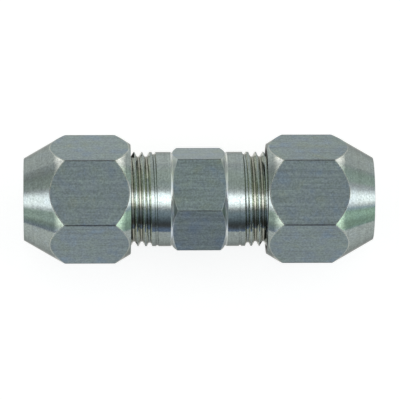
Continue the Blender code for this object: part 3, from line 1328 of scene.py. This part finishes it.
@dataclass
class Studio:
    """A white floor under a light tent that is bright overhead and dark in front, and the camera.

    Attributes:
        floor: The height that the fitting rests at.
        gap: How far the floor lies under it.
        reach: Half of the floor's width.
        front_edge: How far the floor goes towards the front.
        paper: The floor's own grey.
        white: The floor's glow in the picture.
        front_glow: The glow that metal mirrors in front of the fitting, by the distance from its middle.
        left_glow: The glow behind the left end, along the bore.
        right_glow: The glow behind the right end, along the bore.
        far_glow: How the glow falls off behind the fitting.
        to_back: How the mirrored glow changes from front to back.
        glow_tint: The mirrored glow's tint.
        ends: Where the tent's end panels take over, by the angle from the middle.
        strip: Where its overhead strip ends.
        lean: How the middle panels and the strip are turned, in turns, along the bore.
        place: The camera's place.
        tilt: The camera's turns about X, Y and Z, applied in that order of axes to its own frame.
        view: The camera's angle of view.
        near: The nearest that the camera sees.
    """

    floor: float = field(default_factory=lambda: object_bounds()[0][2])
    gap: float = 0.05 * MM
    reach: float = 4.0
    front_edge: float = 0.3
    paper: float = 0.35
    white: float = 0.82
    front_glow: Fade = (0.63, 0.79, 12 * MM, 22 * MM)
    left_glow: Fade = (0.8, 0.97, -62 * MM, -38 * MM)
    right_glow: Fade = (1.0, 0.86, 10 * MM, 24 * MM)
    far_glow: Fade = (1.0, 0.8, 25 * MM, 75 * MM)
    to_back: Fade = (0.0, 1.0, -20 * MM, 18 * MM)
    glow_tint: Colour = (1.01, 1.0, 0.955)
    ends: Fade = (0.0, 1.0, math.radians(40), math.radians(53))
    strip: Fade = (1.0, 0.0, math.radians(3.3), math.radians(4.7))
    lean: Fade = (-4 / 360, 6 / 360, math.radians(0.9), math.radians(2.4))
    place: tuple[float, float, float] = (-28.55 * MM, -105.66 * MM, 970.92 * MM)
    tilt: tuple[float, float, float] = (6.196, -1.697, -0.156)
    view: float = 5.511
    near: float = 0.01

    def add_camera(self) -> None:
        """Set the camera at the photograph's angle."""
        lens = bpy.data.cameras.new("camera")
        lens.sensor_fit = "HORIZONTAL"
        lens.angle = math.radians(self.view)
        lens.clip_start = self.near
        camera = bpy.data.objects.new("camera", lens)
        bpy.context.scene.collection.objects.link(camera)
        turn = Matrix.Identity(4)
        for axis, degrees in zip("XYZ", self.tilt):
            turn = turn @ Matrix.Rotation(math.radians(degrees), 4, axis)
        camera.matrix_world = Matrix.Translation(self.place) @ turn
        bpy.context.scene.camera = camera

    def mirrored_glow(self, wiring: Wiring) -> Socket:
        """The floor's glow as metal mirrors it, by the place on the floor.

        Args:
            wiring: The floor's wiring.

        Returns:
            The glow's colour.
        """
        x, y, _ = wiring.split(wiring.node("ShaderNodeNewGeometry").outputs["Position"])
        front = wiring.spread(wiring.math("ABSOLUTE", x), *self.front_glow)
        sides = wiring.times(wiring.spread(x, *self.left_glow), wiring.spread(x, *self.right_glow))
        behind = wiring.times(sides, wiring.spread(y, *self.far_glow))
        rise = wiring.times(wiring.math("SUBTRACT", behind, front), wiring.spread(y, *self.to_back))
        glow = wiring.math("ADD", front, rise)
        return wiring.vector(*(wiring.times(glow, part) for part in self.glow_tint))

    def add_floor(self) -> None:
        """Lay a white floor that keeps a soft shadow."""
        clear_selection()
        behind = self.reach - self.front_edge
        bpy.ops.mesh.primitive_plane_add(size=2 * self.reach, location=(0.0, behind, self.floor - self.gap))
        floor = bpy.context.object
        floor.name = "floor"
        material = bpy.data.materials.new("floor_paper")
        material.use_nodes = True
        wiring = Wiring(material.node_tree)
        paper = wiring.node("ShaderNodeBsdfDiffuse", {"Color": (self.paper, self.paper, self.paper, 1.0)})
        rays = wiring.node("ShaderNodeLightPath").outputs
        seen = wiring.math("MAXIMUM", wiring.math("MAXIMUM", rays["Is Camera Ray"], rays["Is Glossy Ray"]),
                           rays["Is Transmission Ray"])
        level = wiring.mix(rays["Is Camera Ray"], self.mirrored_glow(wiring),
                           (self.white, self.white, self.white, 1.0))
        glow = wiring.node("ShaderNodeEmission", {"Color": level, "Strength": seen})
        both = wiring.node("ShaderNodeAddShader", {0: paper.outputs[0], 1: glow.outputs[0]})
        wiring.end("ShaderNodeOutputMaterial", both)
        floor.data.materials.append(material)
        floor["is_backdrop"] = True

    def panels(self, wiring: Wiring, angle: Socket, rows: Sequence[tuple[float, float, Colour]]) -> Socket:
        """Look up the tent's light by the angle about the bore.

        Args:
            wiring: The world's wiring.
            angle: The angle, mapped from 0 to 1.
            rows: Degrees from +Z towards +Y, brightness and tint.

        Returns:
            The light's colour.
        """
        return wiring.ramp(angle, [((degrees + 180) / 360, tuple(level * part for part in tint))
                                   for degrees, level, tint in rows])

    def add_tent(self) -> None:
        """Light the scene with a tent whose brightness depends on the angle about the bore."""
        world = bpy.data.worlds.new("light_tent")
        bpy.context.scene.world = world
        world.use_nodes = True
        wiring = Wiring(world.node_tree)
        x, y, z = wiring.split(wiring.node("ShaderNodeTexCoord").outputs["Generated"])
        round_bore = wiring.spread(wiring.math("ARCTAN2", y, z), 0.0, 1.0, -math.pi, math.pi)
        along = wiring.math("ARCSINE", x)
        sideways = wiring.math("ABSOLUTE", along)
        leaning = wiring.math("ADD", round_bore, wiring.spread(along, *self.lean))
        middle = self.panels(wiring, leaning, TENT_MIDDLE)
        strip = wiring.mix(wiring.spread(sideways, *self.strip), (0.0, 0.0, 0.0, 1.0),
                           self.panels(wiring, leaning, TENT_STRIP))
        ends = wiring.mix(wiring.math("GREATER_THAN", along, 0.0), self.panels(wiring, round_bore, TENT_LEFT),
                          self.panels(wiring, round_bore, TENT_RIGHT))
        tent = wiring.mix(1.0, wiring.mix(wiring.spread(sideways, *self.ends), middle, ends), strip, "ADD")
        light = wiring.node("ShaderNodeBackground", {"Color": tent})
        backdrop = wiring.node("ShaderNodeBackground", {"Color": (1.0, 1.0, 1.0, 1.0)})
        choose = wiring.node("ShaderNodeMixShader", {
            0: wiring.node("ShaderNodeLightPath").outputs["Is Camera Ray"],
            1: light.outputs[0],
            2: backdrop.outputs[0],
        })
        wiring.end("ShaderNodeOutputWorld", choose)

    def build(self) -> None:
        """Set up the floor, the light and the camera."""
        self.add_floor()
        self.add_tent()
        self.add_camera()
        bpy.context.scene.view_settings.view_transform = "Standard"


def seat(piece: Piece, node: str, body: str) -> None:
    """Put a finished piece in the place of its plain solid.

    Args:
        piece: The finished piece.
        node: The solid that it stands for.
        body: The body that it moves with.
    """
    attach(piece, body)
    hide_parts(node)
    LOG.info("%s: %d faces, in place of %s on %s", piece.name, len(piece.data.polygons), node, body)


def seat_pair(piece: Piece, kind: str, body: str) -> None:
    """Seat a right-hand piece and its copy at the left end.

    Args:
        piece: The dressed piece at the right end.
        kind: The node's name without its end.
        body: The body's name without its end, or the one body that carries both.
    """
    piece.name = End.RIGHT.named(f"{kind}_mesh")
    copy = far_copy(piece, End.LEFT.named(f"{kind}_mesh"))
    for end, item in ((End.RIGHT, piece), (End.LEFT, copy)):
        carrier = body if body in frame["bodies"] else end.named(body)
        seat(item, end.named(kind), carrier)


def main() -> None:
    """Build every piece in the place of its solid, then the studio."""
    logging.basicConfig(level=logging.INFO, format="%(name)s: %(message)s")
    body = CouplingBody()
    body_piece = body.build()
    body.dress(body_piece)
    seat(body_piece, "coupling_body", "body")
    for part, kind, carrier, slot in (
        (CompressionNut(), "compression_nut", "nut", "nut_zinc"),
        (SlipWasher(), "slip_washer", "washer", "washer_steel"),
        (GripRing(), "grip_ring", "ring", "ring_steel"),
        (SealRing(), "seal_ring", "body", "seal_rubber"),
    ):
        piece = part.build()
        part.dress(piece)
        seat_pair(piece, kind, carrier)

    Studio().build()


if __name__ == "__main__":
    main()
